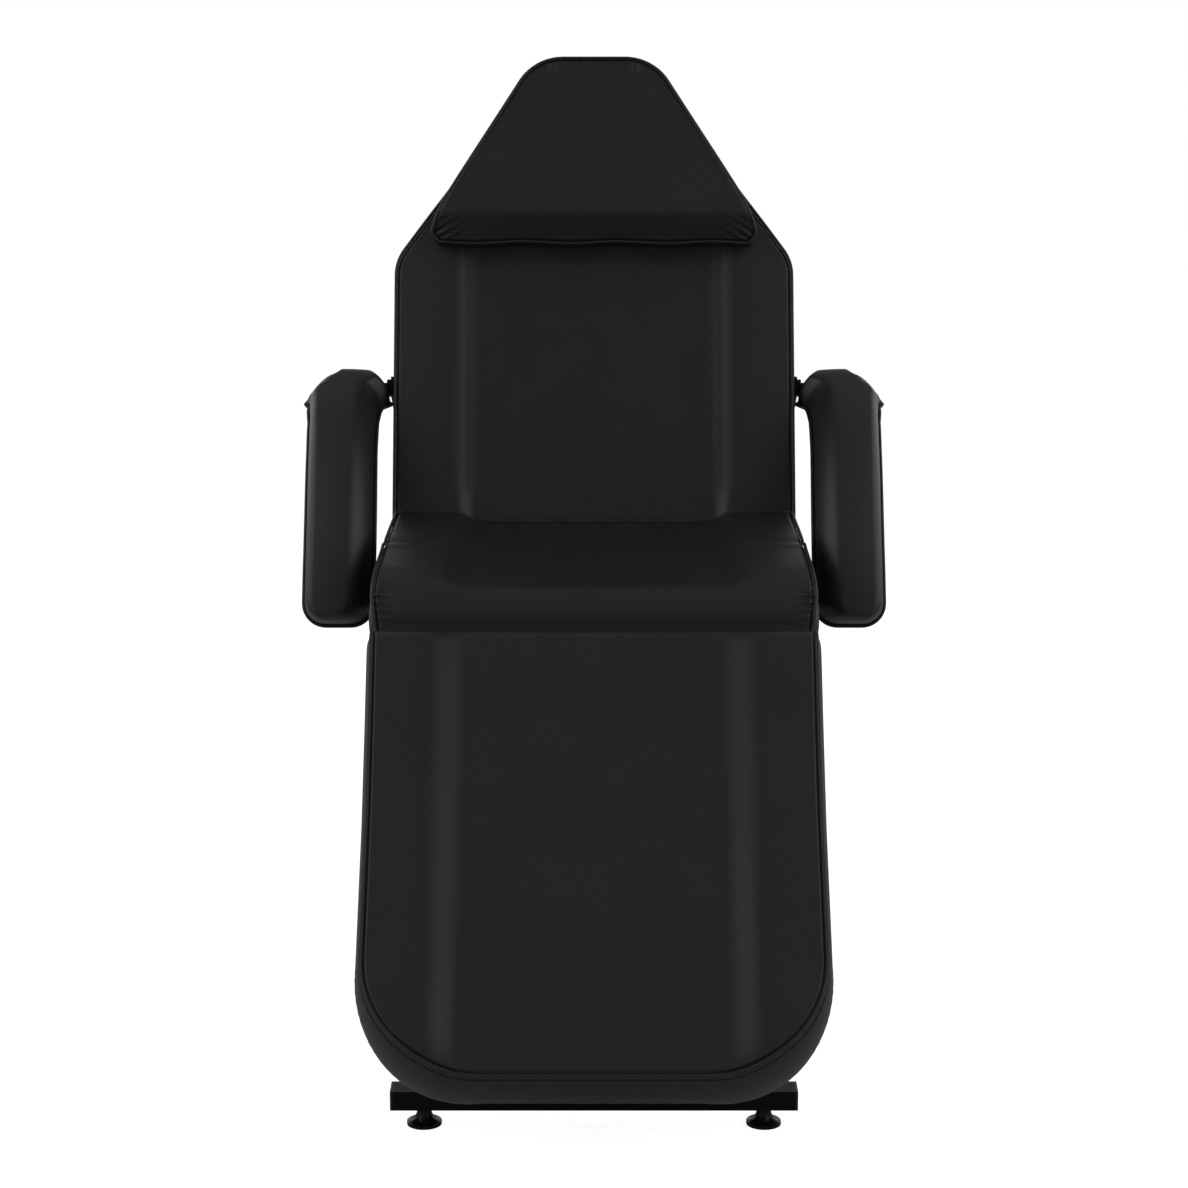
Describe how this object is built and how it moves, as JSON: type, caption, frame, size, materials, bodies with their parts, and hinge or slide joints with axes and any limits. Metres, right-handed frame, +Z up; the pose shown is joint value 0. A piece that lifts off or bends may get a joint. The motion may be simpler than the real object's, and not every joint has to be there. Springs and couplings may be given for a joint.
{
  "type": "beauty bed",
  "caption": "Black upholstered beauty bed in chair pose: dished seat, reclining backrest, lifting leg rest, swing-up arched armrests, head pillow and tubular steel base",
  "frame": {"origin": "on the floor, below the middle of the bounding box", "axes": "+X to the viewer's right, the sitter faces -Y, +Z up"},
  "size_m": [0.842, 1.273, 1.2949],
  "materials": {
    "black_leather": "fine-grained satin faux leather",
    "plywood": "raw birch plywood",
    "black_paint": "satin black powder coat on steel tube",
    "strut_steel": "plain zinc-plated steel",
    "spring_steel": "blued spring steel",
    "zinc_fastener": "bright zinc",
    "foot_plastic": "moulded black plastic",
    "cap_plastic": "moulded black plastic"
  },
  "bodies": {
    "base": {"front_foot_bar": "black_paint", "rear_foot_bar": "black_paint", "foot_bar_end_caps": "cap_plastic", "front_leg_left": "black_paint", "front_leg_right": "black_paint", "rear_leg_left": "black_paint", "rear_leg_right": "black_paint", "side_rails": "black_paint", "seat_rails": "black_paint", "seat_posts": "black_paint", "seat_cross_tubes": "black_paint", "back_strut_anchor": "black_paint", "leg_strut_anchor": "black_paint", "frame_bolts": "zinc_fastener", "back_hinge_bolts": "zinc_fastener", "leg_hinge_bolts": "zinc_fastener", "strut_anchor_pins": "zinc_fastener", "seat_screws": "zinc_fastener", "seat_board": "plywood", "seat_cushion": "black_leather"},
    "backrest": {"backrest_cushion": "black_leather", "backrest_board": "plywood", "backrest_rails": "black_paint", "backrest_screws": "zinc_fastener", "backrest_strut_tube": "black_paint", "backrest_strut_pin": "zinc_fastener", "backrest_top_tube": "black_paint", "arm_cross_tube": "black_paint", "arm_plates": "black_paint"},
    "pillow": {"head_pillow": "black_leather"},
    "legrest": {"legrest_cushion": "black_leather", "legrest_board": "plywood", "legrest_rails": "black_paint", "legrest_screws": "zinc_fastener", "legrest_strut_tube": "black_paint", "legrest_strut_pin": "zinc_fastener", "legrest_end_tube": "black_paint"},
    "foot_front_left": {"levelling_foot_front_left": "foot_plastic"},
    "foot_front_right": {"levelling_foot_front_right": "foot_plastic"},
    "foot_rear_left": {"levelling_foot_rear_left": "foot_plastic"},
    "foot_rear_right": {"levelling_foot_rear_right": "foot_plastic"},
    "back_strut_lower": {"back_strut_housing": "strut_steel", "back_strut_spring": "spring_steel"},
    "back_strut_upper": {"back_strut_toothed_bar": "strut_steel"},
    "back_pawl": {"back_strut_pawl": "strut_steel"},
    "leg_strut_lower": {"leg_strut_housing": "strut_steel", "leg_strut_spring": "spring_steel"},
    "leg_strut_upper": {"leg_strut_toothed_bar": "strut_steel"},
    "leg_pawl": {"leg_strut_pawl": "strut_steel"},
    "arm_left": {"armrest_pad_left": "black_leather", "armrest_core_left": "plywood", "armrest_spigot_left": "black_paint"},
    "arm_right": {"armrest_pad_right": "black_leather", "armrest_core_right": "plywood", "armrest_spigot_right": "black_paint"}
  },
  "joints": [
    {"name": "back_recline", "type": "hinge", "parent": "base", "child": "backrest", "pos_m": [0, 0.38762, 0.529], "axis": [-1, 0, 0], "range_deg": [0, 70]},
    {"name": "leg_raise", "type": "hinge", "parent": "base", "child": "legrest", "pos_m": [0, -0.1444, 0.507], "axis": [-1, 0, 0], "range_deg": [0, 48]},
    {"name": "back_strut_lower_pivot", "type": "hinge", "parent": "base", "child": "back_strut_lower", "pos_m": [0, 0.42274, 0.32983], "axis": [-1, 0, 0], "range_deg": [0, 35]},
    {"name": "back_strut_upper_pivot", "type": "hinge", "parent": "backrest", "child": "back_strut_upper", "pos_m": [0, 0.48422, 0.70668], "axis": [-1, 0, 0], "range_deg": [-35, 0]},
    {"name": "leg_strut_lower_pivot", "type": "hinge", "parent": "base", "child": "leg_strut_lower", "pos_m": [0, -0.0358, 0.37612], "axis": [-1, 0, 0], "range_deg": [0, 24]},
    {"name": "leg_strut_upper_pivot", "type": "hinge", "parent": "legrest", "child": "leg_strut_upper", "pos_m": [0, -0.25444, 0.37732], "axis": [-1, 0, 0], "range_deg": [-24, 0]},
    {"name": "back_pawl_pivot", "type": "hinge", "parent": "back_strut_lower", "child": "back_pawl", "pos_m": [0, 0.43237, 0.49443], "axis": [-1, 0, 0], "range_deg": [0, 5.5], "stiffness_Nm_per_rad": 0.05},
    {"name": "leg_pawl_pivot", "type": "hinge", "parent": "leg_strut_lower", "child": "leg_pawl", "pos_m": [0, -0.15289, 0.35976], "axis": [-1, 0, 0], "range_deg": [0, 5.5], "stiffness_Nm_per_rad": 0.05},
    {"name": "armrest_left_lift", "type": "hinge", "parent": "backrest", "child": "arm_left", "pos_m": [0, 0.43137, 0.81], "axis": [-1, 0, 0], "range_deg": [0, 110]},
    {"name": "armrest_right_lift", "type": "hinge", "parent": "backrest", "child": "arm_right", "pos_m": [0, 0.43137, 0.81], "axis": [-1, 0, 0], "range_deg": [0, 110]},
    {"name": "foot_front_left_turn", "type": "hinge", "parent": "base", "child": "foot_front_left", "pos_m": [-0.214, -0.422, 0], "axis": [0, 0, 1], "continuous": true},
    {"name": "foot_front_right_turn", "type": "hinge", "parent": "base", "child": "foot_front_right", "pos_m": [0.214, -0.422, 0], "axis": [0, 0, 1], "continuous": true},
    {"name": "foot_rear_left_turn", "type": "hinge", "parent": "base", "child": "foot_rear_left", "pos_m": [-0.214, 0.38762, 0], "axis": [0, 0, 1], "continuous": true},
    {"name": "foot_rear_right_turn", "type": "hinge", "parent": "base", "child": "foot_rear_right", "pos_m": [0.214, 0.38762, 0], "axis": [0, 0, 1], "continuous": true},
    {"name": "pillow_pull_off", "type": "slide", "parent": "backrest", "child": "pillow", "axis": [0, -0.9397, 0.342], "range_m": [0, 0.06]}
  ],
  "couplings": [
    {"joint": "back_strut_lower_pivot", "follows": "back_recline", "ratio": 0.5},
    {"joint": "back_strut_upper_pivot", "follows": "back_recline", "ratio": -0.5},
    {"joint": "leg_strut_lower_pivot", "follows": "leg_raise", "ratio": 0.5},
    {"joint": "leg_strut_upper_pivot", "follows": "leg_raise", "ratio": -0.5}
  ]
}
